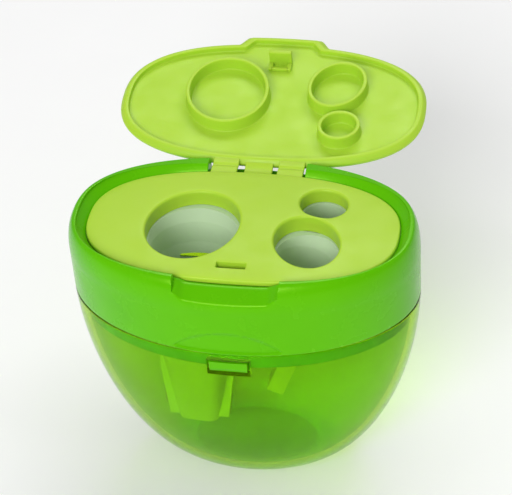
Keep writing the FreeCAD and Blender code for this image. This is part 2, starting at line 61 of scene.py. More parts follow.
# ---------------------------------------------------------------- sizes, in millimetres
# An oval's half width is called a, its half depth b and its exponent n.
BIN_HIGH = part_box("shavings_bin")[1] / MM
HEAD_LOW, HEAD_HIGH = (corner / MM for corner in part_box("head_shell"))
DECK_LOW, DECK_HIGH = (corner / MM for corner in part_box("deck"))
LID_JOINT = next(joint for joint in frame["joints"] if joint["name"] == "lid_hinge")
HINGE_Y, HINGE_Z = LID_JOINT["pos_m"][1] / MM, LID_JOINT["pos_m"][2] / MM
OPEN_ANGLE = math.radians(LID_JOINT["range_deg"][1])

# Shavings bin
GROUND_Z, SEAM_Z = 0.0, BIN_HIGH.z
BODY_A, BODY_B, BODY_N = BIN_HIGH.x, BIN_HIGH.y, 2.0
BASE_A, BASE_WALL = 12.4, 0.4
BIN_WALL, BIN_FLOOR, BIN_LIP = 1.5, 1.7, 0.3
BOWL_DROP, BOWL_SWELL, BOWL_STEPS = 1.8, 1.9, 34
FOOT_A, FOOT_ROUND, FOOT_LIFT, FOOT_GAP = 12.7, 0.25, 0.3, 0.5
BASE_RINGS = (11.0, 8.0, 5.0, 2.0)
FLOOR_A, FLOOR_STEP, FLOOR_GAP = 13.5, 0.35, 0.1
FLOOR_RINGS = (11.0, 8.0, 5.0, 2.6)
WINDOW_HALF, WINDOW_LOW, WINDOW_HIGH = 4.0, 36.8, 40.3
BOWL_HEIGHTS = (SEAM_Z - BIN_LIP, 41.2, 40.9, 40.6, WINDOW_HIGH, 39.5, 38.7, 37.9, 37.2,
                WINDOW_LOW, 36.2, 35.4)
# Each pair: how far inside the floor's edge, and how high over the floor.
FLOOR_EASE = ((0.06, 0.08), (0.14, 0.0))
# Each pair: how far outside the gate mark's radius, and how high over the floor.
GATE_R, GATE_MIDDLE_R, GATE_RISE = 1.5, 0.5, 0.25
GATE_SIDE = ((0.05, 0.0), (0.0, 0.05), (-0.05, 0.22), (-0.15, GATE_RISE))
# The walls' columns turn from upright to fanned out as the bowl narrows past this share of BODY_A.
FAN_START, FAN_OVER = 0.93, 0.15

# Head shell
RIM_Z, SKIRT_Z = HEAD_HIGH.z, HEAD_LOW.z
SHOULDER_Z, SHOULDER_A, SHOULDER_B, SHOULDER_N = 51.0, 32.9, 20.4, 2.12
ROUND_A, ROUND_B, CREST_N_GAIN, CREST_ARC = 1.6, 2.6, 0.2, (3.0, 84.0)
SKIRT_IN, SKIRT_WALL, SKIRT_ROUND, SKIRT_EDGE = 1.95, 1.2, 0.3, 0.2
SKIRT_HEIGHTS, SKIRT_MID_Z = (38.6, 39.6, 40.6, SEAM_Z), 40.0
HEAD_WALL, HEAD_LIP, HEAD_LEDGE, COLLAR_STEPS, CREST_STEPS = 1.9, 0.45, 0.6, 26, 40
CAVITY_Z = SEAM_Z + 1.6
REAR_FALL_Y, REAR_FALL_SLOPE = 5.0, 0.082
BACK_CUT_HALF, BACK_CUT_Z, BACK_CUT_EASE = 9.4, 52.6, 0.1
CREST_IN, CREST_EASE, LID_CLEAR, RIM_WALL_Z = 0.25, 0.02, 0.32, 56.75
SEAT_EASE, SEAT_DROPS, SEAT_SQUASH = 0.05, (0.2, 0.6, 1.0, 1.4), 0.9
POCKET_CLEAR, POCKET_Z = 0.1, 54.8
SILL_MID, SILL_IN, SILL_UNDER_Z = 0.6, 1.55, 53.0
VAULT_OUT, VAULT_Z, VAULT_N = 0.6, 52.0, 2.3
CHEST_IN, CHEST_Z = 0.3, 50.6
# Finger recess: side distances and the floor's rise there, from the middle outwards.
RECESS = ((7.2, 0.0), (9.45, 1.0), (9.9, 5.6))
RECESS_Z, RECESS_SLOPE, RECESS_FRONT = 52.4, 0.366, -22.9
RECESS_EASE, RECESS_POWER, RECESS_END_EASE, RECESS_END_RISE = 0.3, 1.6, (0.1, 0.3), 3.0
CREST_BLEND, SCOOP_BLEND = 0.18, 1.5
# Faint half-moon on the front of the head, under the recess.
ARC_R, ARC_TOP, ARC_DEPTH, ARC_EASE = 14.3, 46.8, 0.4, (0.35, 0.1)

# Columns: every row of the bin and the head has its points at the same angles.
COLUMN_COUNT, COLUMN_GAP = 288, 0.0012
CUT_SIDES = (-0.14, -0.05, 0.05, 0.14)
RECESS_COLUMNS = (7.0, 7.4, 7.8, 8.2, 8.6, 9.0, 9.3, 9.45, 9.55, 9.65, 9.75, 9.85, 9.95, 10.1, 10.25)
UPRIGHT_X, FANNED_X = 12.0, 26.0

# Deck
DECK_A, DECK_B, OVAL_N, DECK_COLUMNS = 29.1, 15.7, 2.5, 320
DECK_TOP, DECK_UNDER = DECK_HIGH.z, 54.4
DOME_RISE, DOME_SPREAD = 3.2, 1.62
DECK_EDGE, DECK_UNDER_EDGE = 0.35, 0.15
TUBE_Z, TUBE_WALL, TUBE_ROUND = DECK_LOW.z, 1.0, 0.2
TUBE_HEIGHTS, TUBE_TIP = (55.0, 54.0, 53.2), (0.2, 0.8)
HOLE_LIP, ROOM_SHARE, HOLE_POINTS = 0.55, 0.4, 112
SLOT_HALF, SLOT_T, SLOT_LIP, SLOT_CORNER = 2.7, 1.5, 0.22, 0.2
# Each opening: its centre, half sizes and turn in degrees.
OPENINGS = {
    "large": ((-9.1, -1.1), (8.65, 9.6), -13.0),
    "medium": ((12.6, -4.1), (5.9, 7.0), 25.0),
    "small": ((14.25, 7.2), (4.5, 4.25), -20.0),
}

# Lid, given as if shut
LID_A, LID_B = 30.5, 16.85
LID_LOW, LID_TOP, LID_SKIN = 55.66, 57.9, 1.2
LID_CEILING = LID_TOP - LID_SKIN
LID_ROUND, LID_CHAMFER, LID_RIM, LID_FILLET = 1.3, 0.8, 1.6, 0.3
# Lower edge of the lid's rim: how far inside the outline, and how high over the edge.
LID_EDGE = ((0.0, LID_CHAMFER + 0.08), (0.03, LID_CHAMFER), (LID_CHAMFER - 0.08, 0.07),
            (LID_CHAMFER + 0.06, 0.0), (LID_RIM - 0.15, 0.0), (LID_RIM - 0.03, 0.05), (LID_RIM, 0.18))
LID_COLUMN_COUNT, LID_COLUMN_GAP = 300, 0.0015
TAB_COLUMN_X, TAB_COLUMN_STEP, TAB_COLUMNS = 5.6, 0.15, 30
TAB_HALF, TAB_Y, TAB_CROWN, TAB_EASE = 9.3, -19.0, 0.004, (2.0, 0.35)
RING_CLEAR, RING_WALL, RING_TIP_Z, RING_MID_Z = 0.25, 0.9, 54.0, 55.2
RING_FILLET, RING_DRAFT, RING_ROUND, RING_BORE_EASE = 0.3, (0.03, 0.08), 0.2, 0.25

# Latch under the lid
LATCH_Y, LATCH_HALF, LATCH_ROOT = -11.9, 2.3, 0.1
LEAF_HALF_T, LEAF_LOW, LEAF_ROUND = 0.5, 53.4, 0.18
BARB_Y, BARB_Z, BARB_ROUND = (-0.68, -0.2), (53.6, 54.2), 0.16
BRACE_Y, BRACE_LOW, BRACE_WALL, BRACE_ROUND = (0.3, 2.4), 56.0, 0.9, 0.15
BRACE_BACK_Y, BRACE_BACK_IN = 1.7, 0.5

# Film hinges
STRAP_X, STRAP_DROP, STRAP_T, STRAP_ROUND, STRAP_STEPS = (3.9, 8.9), 0.1, 0.8, 0.12, 48
STRAP_ROOT_DECK, STRAP_ROOT_LID, BEND_HALF = 0.5, 0.7, 0.5
CREASE_SPREAD, CREASE_TOP, CREASE_UNDER = 0.42, 0.27, 0.12
SNAP_HALF, SNAP_ROUND, SNAP_STEPS, SNAP_SAG = 2.7, 0.14, 40, 0.6
SNAP_ROOT_DECK, SNAP_ROOT_LID, SNAP_TOP, SNAP_UNDER = 0.1, 0.25, 0.45, 1.05

# Mesh density and the angles past which an edge stays sharp
FILL_STEP, LID_FILL, LID_TOP_FILL, UNDER_FILL = 1.1, 1.6, 2.0, 2.4
ROW_PITCH, BORDER_GAP = 0.866, 0.6
BODY_SHARP, PLATE_SHARP, STRAP_SHARP, BOX_SHARP = 38.0, 42.0, 30.0, 50.0


# ---------------------------------------------------------------- small helpers
def smooth(value, low, high):
    """0 below low, 1 above high, smooth between."""
    t = min(max((value - low) / (high - low), 0.0), 1.0)
    return t * t * (3 - 2 * t)


def soft_min(a, b, reach):
    """The smaller of two heights, rounded over a reach where they meet."""
    h = min(max(0.5 + 0.5 * (b - a) / reach, 0.0), 1.0)
    return b * (1 - h) + a * h - reach * h * (1 - h)


def quarter(steps, start=0.0, end=90.0):
    """Sine and cosine along an arc, in order."""
    angles = [math.radians(start + (end - start) * i / steps) for i in range(steps + 1)]
    return [(math.sin(a), math.cos(a)) for a in angles]


def turned(points, pivot_y, pivot_z, angle):
    """Points turned about the X direction through a pivot."""
    c, s = math.cos(angle), math.sin(angle)
    return [(x, pivot_y + (y - pivot_y) * c - (z - pivot_z) * s,
             pivot_z + (y - pivot_y) * s + (z - pivot_z) * c) for x, y, z in points]


def oval_y(x, a, b, n):
    """How far an oval's edge lies from its long axis at x."""
    return b * max(1 - abs(x / a) ** n, 0.0) ** (1 / n)


def spaced(angles, gap):
    """Angles in order, less those too near the one before."""
    angles = sorted(angles)
    kept = [angles[0]]
    for angle in angles[1:]:
        if angle - kept[-1] > gap:
            kept.append(angle)
    return kept


def even_angles(count):
    return [2 * math.pi * (i + 0.5) / count for i in range(count)]


def flat(row):
    return [(x, y) for x, y, _ in row]


def in_loop(points, loop):
    """Which points lie inside a closed loop."""
    xs, ys = points[:, 0], points[:, 1]
    inside = np.zeros(len(points), bool)
    for i in range(len(loop)):
        x0, y0 = loop[i - 1]
        x1, y1 = loop[i]
        if y0 == y1:
            continue
        crosses = (y0 > ys) != (y1 > ys)
        inside ^= crosses & (xs < (x1 - x0) * (ys - y0) / (y1 - y0) + x0)
    return inside


def between_loops(points, outline, holes):
    """Which points lie inside an outline and outside its holes."""
    keep = in_loop(points, outline)
    for hole in holes:
        keep &= ~in_loop(points, hole)
    return keep


def grid_inside(border, step):
    """Points of a triangular grid over a border's box, less those near the border."""
    low, high = border.min(0), border.max(0)
    grid = []
    row = 0
    y = low[1] + step * 0.5
    while y < high[1]:
        x = low[0] + step * (0.5 if row % 2 else 1.0)
        while x < high[0]:
            grid.append((x, y))
            x += step
        y += step * ROW_PITCH
        row += 1
    grid = np.array(grid)
    near = np.array([((border - p) ** 2).sum(1).min() for p in grid])
    return grid[near > (BORDER_GAP * step) ** 2]


def finish_mesh(name, mesh, material, sharp_angle):
    """Object for a mesh, in the scene, with its material and shading."""
    piece = bpy.data.objects.new(name, mesh)
    bpy.context.scene.collection.objects.link(piece)
    mesh.materials.append(material)
    mesh.shade_smooth()
    mesh.set_sharp_from_angle(angle=math.radians(sharp_angle))
    return piece


class Solid:
    """Collects strips and fills of one closed surface, then welds them."""

    def __init__(self):
        self.points = []
        self.faces = []

    def add(self, points, faces):
        start = len(self.points)
        self.points += points
        self.faces += [tuple(start + i for i in face) for face in faces]

    def strip(self, rows, close_rows=False, skip=None):
        """Quads between rows of points; each row is a closed loop."""
        count = len(rows[0])
        faces = []
        last = len(rows) if close_rows else len(rows) - 1
        for r in range(last):
            for i in range(count):
                if skip and skip(r, i):
                    continue
                j = (i + 1) % count
                q = (r + 1) % len(rows)
                faces.append((r * count + i, r * count + j, q * count + j, q * count + i))
        self.add([p for row in rows for p in row], faces)

    def fan(self, ring):
        """Triangles from a flat ring to its middle."""
        count = len(ring)
        faces = [(i, (i + 1) % count, count) for i in range(count)]
        self.add(ring + [(0.0, 0.0, ring[0][2])], faces)

    def fill(self, outline, holes, height, step=FILL_STEP):
        """Triangles across a flat outline less its holes, lifted to height(x, y)."""
        coords, edges = [], []
        for loop in [outline] + holes:
            start = len(coords)
            coords += [Vector(p) for p in loop]
            edges += [(start + i, start + (i + 1) % len(loop)) for i in range(len(loop))]
        grid = grid_inside(np.array([(c.x, c.y) for c in coords]), step)
        coords += [Vector(p) for p in grid[between_loops(grid, outline, holes)]]
        verts, _, tris, _, _, _ = delaunay_2d_cdt(coords, edges, [], 0, TINY_M)
        corners = np.array([(v.x, v.y) for v in verts])
        middles = np.array([corners[list(t)].mean(0) for t in tris])
        keep = between_loops(middles, outline, holes)
        self.add([(v.x, v.y, height(v.x, v.y)) for v in verts], [t for t, k in zip(tris, keep) if k])

    def make(self, name, material, sharp_angle=BODY_SHARP, turn=None):
        """The welded surface as an object."""
        points = turn(self.points) if turn else self.points
        mesh = bpy.data.meshes.new(name)
        mesh.from_pydata([(x * MM, y * MM, z * MM) for x, y, z in points], [], self.faces)
        bm = bmesh.new()
        bm.from_mesh(mesh)
        bmesh.ops.remove_doubles(bm, verts=bm.verts, dist=WELD_M)
        bmesh.ops.dissolve_degenerate(bm, dist=TINY_M, edges=bm.edges)
        loose = [v for v in bm.verts if not v.link_faces]
        bmesh.ops.delete(bm, geom=loose, context="VERTS")
        bmesh.ops.recalc_face_normals(bm, faces=bm.faces)
        bm.to_mesh(mesh)
        bm.free()
        return finish_mesh(name, mesh, material, sharp_angle)


# ---------------------------------------------------------------- materials
MIX_A, MIX_B, MIX_RESULT = 6, 7, 2    # the Mix node's colour sockets


def new_material(name):
    material = bpy.data.materials.new(name)
    material.use_nodes = True
    nodes = material.node_tree.nodes
    return material, nodes, material.node_tree.links, nodes["Principled BSDF"]


def object_coords(nodes):
    return nodes.new("ShaderNodeTexCoord").outputs["Object"]


def noise(nodes, links, coords, scale, detail=3.0, distortion=0.0):
    node = nodes.new("ShaderNodeTexNoise")
    node.inputs["Scale"].default_value = scale
    node.inputs["Detail"].default_value = detail
    node.inputs["Distortion"].default_value = distortion
    links.new(coords, node.inputs["Vector"])
    return node.outputs["Fac"]


def ramp(nodes, links, source, span, result):
    """Source taken from one span of values to another."""
    node = nodes.new("ShaderNodeMapRange")
    node.inputs["From Min"].default_value, node.inputs["From Max"].default_value = span
    node.inputs["To Min"].default_value, node.inputs["To Max"].default_value = result
    links.new(source, node.inputs["Value"])
    return node.outputs["Result"]


def colour_mix(nodes, links, factor, a, b):
    node = nodes.new("ShaderNodeMix")
    node.data_type = "RGBA"
    for socket, value in ((node.inputs[MIX_A], a), (node.inputs[MIX_B], b)):
        if isinstance(value, tuple):
            socket.default_value = (*value, 1.0)
        else:
            links.new(value, socket)
    links.new(factor, node.inputs[0])
    return node.outputs[MIX_RESULT]


def bump(nodes, links, height, strength, distance):
    node = nodes.new("ShaderNodeBump")
    node.inputs["Strength"].default_value = strength
    node.inputs["Distance"].default_value = distance
    links.new(height, node.inputs["Height"])
    return node.outputs["Normal"]


def set_sockets(shader, values):
    for name, value in values.items():
        shader.inputs[name].default_value = value


def moulded_plastic(name, base, deep, pale, sheen, rough, coat, subsurface, radius):
    """Injection-moulded plastic: faint flow marks and bloom in the colour, uneven gloss, fine peel."""
    material, nodes, links, shader = new_material(name)
    coords = object_coords(nodes)
    flow = noise(nodes, links, coords, scale=38.0, detail=3.0, distortion=1.4)
    tone = colour_mix(nodes, links, ramp(nodes, links, flow, (0.3, 0.7), (0.0, 1.0)), base, deep)
    cloud = noise(nodes, links, coords, scale=16.0, detail=2.0)
    bloom = ramp(nodes, links, cloud, (0.45, 0.75), (0.0, 0.3))
    links.new(colour_mix(nodes, links, bloom, tone, pale), shader.inputs["Base Color"])
    haze = noise(nodes, links, coords, scale=210.0, detail=4.0)
    gloss = ramp(nodes, links, haze, (0.3, 0.7), (rough * 0.8, rough * 1.3))
    links.new(gloss, shader.inputs["Roughness"])
    grain = noise(nodes, links, coords, scale=1500.0, detail=2.0)
    links.new(bump(nodes, links, grain, strength=0.05, distance=0.00006), shader.inputs["Normal"])
    set_sockets(shader, {
        "IOR": 1.49, "Specular IOR Level": 0.4, "Specular Tint": (*sheen, 1.0),
        "Coat Weight": coat, "Coat Roughness": 0.08,
        "Subsurface Weight": subsurface, "Subsurface Radius": radius, "Subsurface Scale": 0.001})
    return material


def clear_plastic(name, tint, edge_tint, rough):
    """Tinted see-through plastic that lets lamps light what it holds."""
    material, nodes, links, shader = new_material(name)
    coords = object_coords(nodes)
    flow = noise(nodes, links, coords, scale=55.0, detail=3.0, distortion=1.0)
    deep = tuple(channel * 0.93 for channel in tint)
    body = colour_mix(nodes, links, ramp(nodes, links, flow, (0.35, 0.65), (0, 1)), tint, deep)
    facing = nodes.new("ShaderNodeLayerWeight")
    facing.inputs["Blend"].default_value = 0.35
    edge = ramp(nodes, links, facing.outputs["Facing"], (0.45, 0.95), (0.0, 1.0))
    links.new(colour_mix(nodes, links, edge, body, edge_tint), shader.inputs["Base Color"])
    haze = noise(nodes, links, coords, scale=260.0, detail=4.0)
    gloss = ramp(nodes, links, haze, (0.3, 0.7), (rough * 0.6, rough * 1.5))
    links.new(gloss, shader.inputs["Roughness"])
    ripple = noise(nodes, links, coords, scale=90.0, detail=2.0)
    links.new(bump(nodes, links, ripple, strength=0.06, distance=0.0003), shader.inputs["Normal"])
    set_sockets(shader, {
        "IOR": 1.24, "Specular Tint": (0.45, 0.85, 0.08, 1.0), "Transmission Weight": 0.94})
    # shadows pass through the walls, faintly tinted
    pass_through = nodes.new("ShaderNodeBsdfTransparent")
    pass_through.inputs["Color"].default_value = (*(channel ** 0.3 for channel in tint), 1.0)
    path = nodes.new("ShaderNodeLightPath")
    mix = nodes.new("ShaderNodeMixShader")
    links.new(path.outputs["Is Shadow Ray"], mix.inputs["Fac"])
    links.new(shader.outputs["BSDF"], mix.inputs[1])
    links.new(pass_through.outputs["BSDF"], mix.inputs[2])
    links.new(mix.outputs["Shader"], nodes["Material Output"].inputs["Surface"])
    return material


def ground_metal(name, base, rough, stretch):
    """Bright steel with fine grinding lines along one direction."""
    material, nodes, links, shader = new_material(name)
    coords = object_coords(nodes)
    mapping = nodes.new("ShaderNodeMapping")
    mapping.inputs["Scale"].default_value = stretch
    links.new(coords, mapping.inputs["Vector"])
    lines = noise(nodes, links, mapping.outputs["Vector"], scale=900.0, detail=4.0)
    stain = noise(nodes, links, coords, scale=160.0, detail=3.0)
    dark = tuple(channel * 0.78 for channel in base)
    patches = ramp(nodes, links, stain, (0.35, 0.7), (0, 1))
    links.new(colour_mix(nodes, links, patches, base, dark), shader.inputs["Base Color"])
    gloss = ramp(nodes, links, lines, (0.3, 0.7), (rough * 0.7, rough * 1.4))
    links.new(gloss, shader.inputs["Roughness"])
    links.new(bump(nodes, links, lines, strength=0.25, distance=0.00004), shader.inputs["Normal"])
    shader.inputs["Metallic"].default_value = 1.0
    return material


HEAD_GREEN = moulded_plastic(
    "head_green", base=(0.102, 0.480, 0.0006), deep=(0.090, 0.445, 0.0005), pale=(0.16, 0.56, 0.004),
    sheen=(0.62, 1.0, 0.10), rough=0.24, coat=0.03, subsurface=0.08, radius=(0.6, 1.4, 0.2))
LID_GREEN = moulded_plastic(
    "lid_green", base=(0.425, 0.655, 0.040), deep=(0.395, 0.625, 0.034), pale=(0.50, 0.72, 0.09),
    sheen=(0.90, 1.0, 0.60), rough=0.42, coat=0.02, subsurface=0.25, radius=(1.6, 2.2, 0.5))
BIN_GREEN = clear_plastic("bin_green", tint=(0.43, 0.73, 0.014), edge_tint=(0.13, 0.46, 0.004), rough=0.05)
# Sharpener bodies: white-ish plastic, dimmed and cast green to paint in the shade and green light inside the
# head
WHITE_WITH_PAINTED_GREEN_SHADE = moulded_plastic(
    "white_with_painted_green_shade", base=(0.54, 0.68, 0.46), deep=(0.50, 0.64, 0.42), pale=(0.60, 0.73, 0.52),
    sheen=(1.0, 1.0, 0.9), rough=0.38, coat=0.02, subsurface=0.15, radius=(1.2, 1.2, 1.0))
STEEL = ground_metal("blade_steel", base=(0.60, 0.61, 0.62), rough=0.24, stretch=(1.0, 1.0, 14.0))
ZINC = ground_metal("screw_zinc", base=(0.62, 0.60, 0.56), rough=0.34, stretch=(4.0, 4.0, 1.0))


# ---------------------------------------------------------------- the body's columns
def column_angles():
    """Angles of the body's columns, with close ones where a cut has its sides."""
    sides = [half + offset for half in (BACK_CUT_HALF, WINDOW_HALF, SNAP_HALF) for offset in CUT_SIDES]
    angles = even_angles(COLUMN_COUNT)
    for x in (*sides, *RECESS_COLUMNS):
        a = math.acos(x / BODY_A)
        angles += [a, math.pi - a, math.pi + a, 2 * math.pi - a]
    return spaced(angles, COLUMN_GAP)


COLUMNS = column_angles()


def body_point(t, a, b, n, upright=1.0):
    """Point of an oval where column t crosses it; near the middle, columns keep their x."""
    x = BODY_A * math.cos(t)
    share = 1 - (1 - smooth(abs(x), UPRIGHT_X, FANNED_X)) * upright
    x *= (a / BODY_A) ** share
    y = oval_y(x, a, b, n)
    return x, (y if math.sin(t) > 0 else -y)


# ---------------------------------------------------------------- shavings bin
def bowl_row(a, b, z):
    """One row of the bowl's wall; its columns fan out as the bowl narrows."""
    upright = 1 - smooth(BODY_A * FAN_START - a, 0.0, BODY_A * FAN_OVER)
    return [(*body_point(t, a, b, BODY_N, upright), z) for t in COLUMNS]


def bowl_sections(top_a, base_a, low_z, squash):
    """Half width, half depth and height of the bowl's sections, from the top down."""
    fractions = [min(max((SEAM_Z - z) / (SEAM_Z - low_z), 0.0), 1.0) for z in BOWL_HEIGHTS]
    angles = [math.asin(f ** (BOWL_DROP / 2)) for f in fractions]
    start = angles[-1]
    angles += [start + (math.pi / 2 - start) * i / BOWL_STEPS for i in range(1, BOWL_STEPS + 1)]
    sections = []
    for phi in angles:
        z = SEAM_Z - (SEAM_Z - low_z) * math.sin(phi) ** (2 / BOWL_DROP)
        a = base_a + (top_a - base_a) * max(math.cos(phi), 0.0) ** (2 / BOWL_SWELL)
        sections.append((a, a * squash, z))
    return sections


def height_at(sections, a):
    """Height of the bowl where its half width is a."""
    for (a0, _, z0), (a1, _, z1) in zip(sections, sections[1:]):
        if a1 <= a <= a0:
            return z0 + (z1 - z0) * (a0 - a) / (a0 - a1)
    return sections[-1][2]


def bin_lip(top, side):
    """Rounded lip over a wall's top section, from the top down; side is -1 outside and 1 inside."""
    a, b, _ = top
    return [(a + side * BIN_LIP * (1 - c), b + side * BIN_LIP * (1 - c), SEAM_Z - BIN_LIP + BIN_LIP * s)
            for s, c in reversed(quarter(4)[1:])]


def bowl_outside():
    squash = BODY_B / BODY_A
    sections = bowl_sections(BODY_A, BASE_A, GROUND_Z, squash)
    rows = bin_lip(sections[0], -1)
    rows += [section for section in sections if section[0] > FOOT_A + FOOT_GAP]
    for s, _ in quarter(4):
        a = FOOT_A - FOOT_ROUND * s
        rows.append((a, a * squash, FOOT_ROUND * (1 - s) ** 2 * FOOT_LIFT))
    rows += [(a, a * squash, GROUND_Z) for a in BASE_RINGS]
    return [bowl_row(*row) for row in rows]


def bowl_inside():
    """Rows of the inside: the wall, a step down to the floor, and the gate mark in its middle."""
    squash = (BODY_B - BIN_WALL) / (BODY_A - BIN_WALL)
    sections = bowl_sections(BODY_A - BIN_WALL, BASE_A - BASE_WALL, BIN_FLOOR, squash)
    rows = bin_lip(sections[0], 1)
    rows += [section for section in sections if section[0] > FLOOR_A + FLOOR_GAP]
    floor_z = BIN_FLOOR - FLOOR_STEP
    steps = [(FLOOR_A, height_at(sections, FLOOR_A))]
    steps += [(FLOOR_A - inset, floor_z + rise) for inset, rise in FLOOR_EASE]
    steps += [(a, floor_z) for a in FLOOR_RINGS]
    steps += [(GATE_R + out, floor_z + rise) for out, rise in GATE_SIDE]
    steps.append((GATE_MIDDLE_R, floor_z + GATE_RISE))
    rows += [(a, a * squash, z) for a, z in steps]
    return [bowl_row(*row) for row in rows]


def in_window(rows, r, i):
    """Whether the face after row r and column i lies in the catch window."""
    if r + 1 >= len(rows) or rows[r][i][1] > 0:
        return False
    x = 0.5 * (rows[r][i][0] + rows[r][(i + 1) % len(COLUMNS)][0])
    z = 0.5 * (rows[r][i][2] + rows[r + 1][i][2])
    return abs(x) <= WINDOW_HALF and WINDOW_LOW < z < WINDOW_HIGH


def window_edge(rows):
    """Points round the window in one face of the wall, in order."""
    removed = [(r, i) for r in range(len(rows)) for i in range(len(COLUMNS)) if in_window(rows, r, i)]
    first, last = removed[0][0], removed[-1][0]
    columns = sorted(set(i for _, i in removed))
    border = [(first, i) for i in columns]
    border += [(r, columns[-1] + 1) for r in range(first, last + 2)]
    border += [(last + 1, i) for i in reversed(columns)]
    border += [(r, columns[0]) for r in range(last, first, -1)]
    return [rows[r][i] for r, i in border]


def build_bin():
    outside, inside = bowl_outside(), bowl_inside()
    solid = Solid()
    solid.strip(outside, skip=lambda r, i: in_window(outside, r, i))
    solid.strip(inside, skip=lambda r, i: in_window(inside, r, i))
    solid.strip([outside[0], inside[0]])
    solid.fan(outside[-1])
    solid.fan(inside[-1])
    solid.strip([window_edge(outside), window_edge(inside)])
    piece = solid.make("bin_bowl", BIN_GREEN)
    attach(piece, "bin")
    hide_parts("shavings_bin")


# ---------------------------------------------------------------- head shell
def head_limit(x, y):
    """Highest the head may reach at a point: rim's crest, rear fall, finger recess, rear cut."""
    limit = RIM_Z - max(y - REAR_FALL_Y, 0.0) * REAR_FALL_SLOPE
    side = abs(x)
    if y > 0:
        cut = 1 - smooth(side, BACK_CUT_HALF - BACK_CUT_EASE, BACK_CUT_HALF + BACK_CUT_EASE)
        return limit * (1 - cut) + BACK_CUT_Z * cut
    floor = RECESS_Z + RECESS_SLOPE * (y - RECESS_FRONT)
    (low, _), (mid, mid_rise), (top, top_rise) = RECESS
    end_before, end_after = RECESS_END_EASE
    rise = mid_rise * smooth(side, low - RECESS_EASE, mid) ** RECESS_POWER
    rise += (top_rise - mid_rise) * min(max((side - mid) / (top - mid), 0.0), 1.0)
    rise += RECESS_END_RISE * smooth(side, top - end_before, top + end_after)
    return min(limit, floor + rise)


def skirt_and_collar():
    """Sections up the outside: half width, half depth, exponent, height, and whether cuts limit it."""
    skirt_a, skirt_b = BODY_A - SKIRT_IN, BODY_B - SKIRT_IN
    sections = []
    for s, c in quarter(3):
        sections.append((skirt_a - SKIRT_ROUND + SKIRT_ROUND * s, skirt_b - SKIRT_ROUND + SKIRT_ROUND * s,
                         BODY_N, SKIRT_Z + SKIRT_ROUND - SKIRT_ROUND * c, False))
    sections += [(skirt_a, skirt_b, BODY_N, z, False) for z in SKIRT_HEIGHTS]
    sections.append((skirt_a + HEAD_LEDGE, skirt_b + HEAD_LEDGE, BODY_N, SEAM_Z, False))
    for s, c in quarter(4):
        sections.append((BODY_A - HEAD_LIP + HEAD_LIP * s, BODY_B - HEAD_LIP + HEAD_LIP * s,
                         BODY_N, SEAM_Z + HEAD_LIP - HEAD_LIP * c, False))
    for i in range(1, COLLAR_STEPS + 1):
        z = SEAM_Z + HEAD_LIP + (SHOULDER_Z - SEAM_Z - HEAD_LIP) * (i / COLLAR_STEPS)
        way = (z - SEAM_Z) / (SHOULDER_Z - SEAM_Z)
        sections.append((BODY_A + (SHOULDER_A - BODY_A) * way, BODY_B + (SHOULDER_B - BODY_B) * way,
                         BODY_N + (SHOULDER_N - BODY_N) * way, z, True))
    return sections


def crest_and_seat():
    """Sections over the rim's crest and down to the lid's seat."""
    sections = []
    for s, c in quarter(CREST_STEPS, *CREST_ARC):
        angle = math.degrees(math.asin(s))
        sections.append((SHOULDER_A - ROUND_A * (1 - c), SHOULDER_B - ROUND_B * (1 - c),
                         SHOULDER_N + CREST_N_GAIN * angle / 90,
                         SHOULDER_Z + (RIM_Z - SHOULDER_Z) * s, True))
    inner_a, inner_b = LID_A + LID_CLEAR, LID_B + LID_CLEAR
    for s, c in quarter(5):
        sections.append((inner_a + CREST_IN * (1 - s), inner_b + CREST_IN * (1 - s),
                         OVAL_N - CREST_EASE, RIM_Z - CREST_EASE - CREST_IN * (1 - c), True))
    seat_z = LID_LOW + LID_CHAMFER
    sections += [(inner_a, inner_b, OVAL_N, z, True) for z in (RIM_WALL_Z, seat_z + SEAT_EASE)]
    sections += [(inner_a - drop, inner_b - drop * SEAT_SQUASH, OVAL_N, seat_z - drop, True)
                 for drop in SEAT_DROPS]
    return sections


def head_inside():
    """Sections of the deck's pocket, the sill under it, the vault and the skirt's inside."""
    pocket_a, pocket_b = DECK_A + POCKET_CLEAR, DECK_B + POCKET_CLEAR
    sill_a, sill_b = DECK_A - SILL_IN, DECK_B - SILL_IN
    skirt_a, skirt_b = BODY_A - SKIRT_IN - SKIRT_WALL, BODY_B - SKIRT_IN - SKIRT_WALL
    return [(pocket_a, pocket_b, OVAL_N, POCKET_Z, True),
            (pocket_a, pocket_b, OVAL_N, DECK_UNDER, True),
            (DECK_A - SILL_MID, DECK_B - SILL_MID, OVAL_N, DECK_UNDER, True),
            (sill_a, sill_b, OVAL_N, DECK_UNDER, False),
            (sill_a, sill_b, OVAL_N, SILL_UNDER_Z, False),
            (DECK_A + VAULT_OUT, DECK_B + VAULT_OUT, VAULT_N, VAULT_Z, False),
            (SHOULDER_A - HEAD_WALL, SHOULDER_B - HEAD_WALL - CHEST_IN, SHOULDER_N, CHEST_Z, False),
            (BODY_A - HEAD_WALL, BODY_B - HEAD_WALL, BODY_N, CAVITY_Z, False),
            (skirt_a, skirt_b, BODY_N, CAVITY_Z, False),
            (skirt_a, skirt_b, BODY_N, SKIRT_MID_Z, False),
            (skirt_a, skirt_b, BODY_N, SKIRT_Z + SKIRT_EDGE, False),
            (skirt_a + SKIRT_EDGE, skirt_b + SKIRT_EDGE, BODY_N, SKIRT_Z, False)]


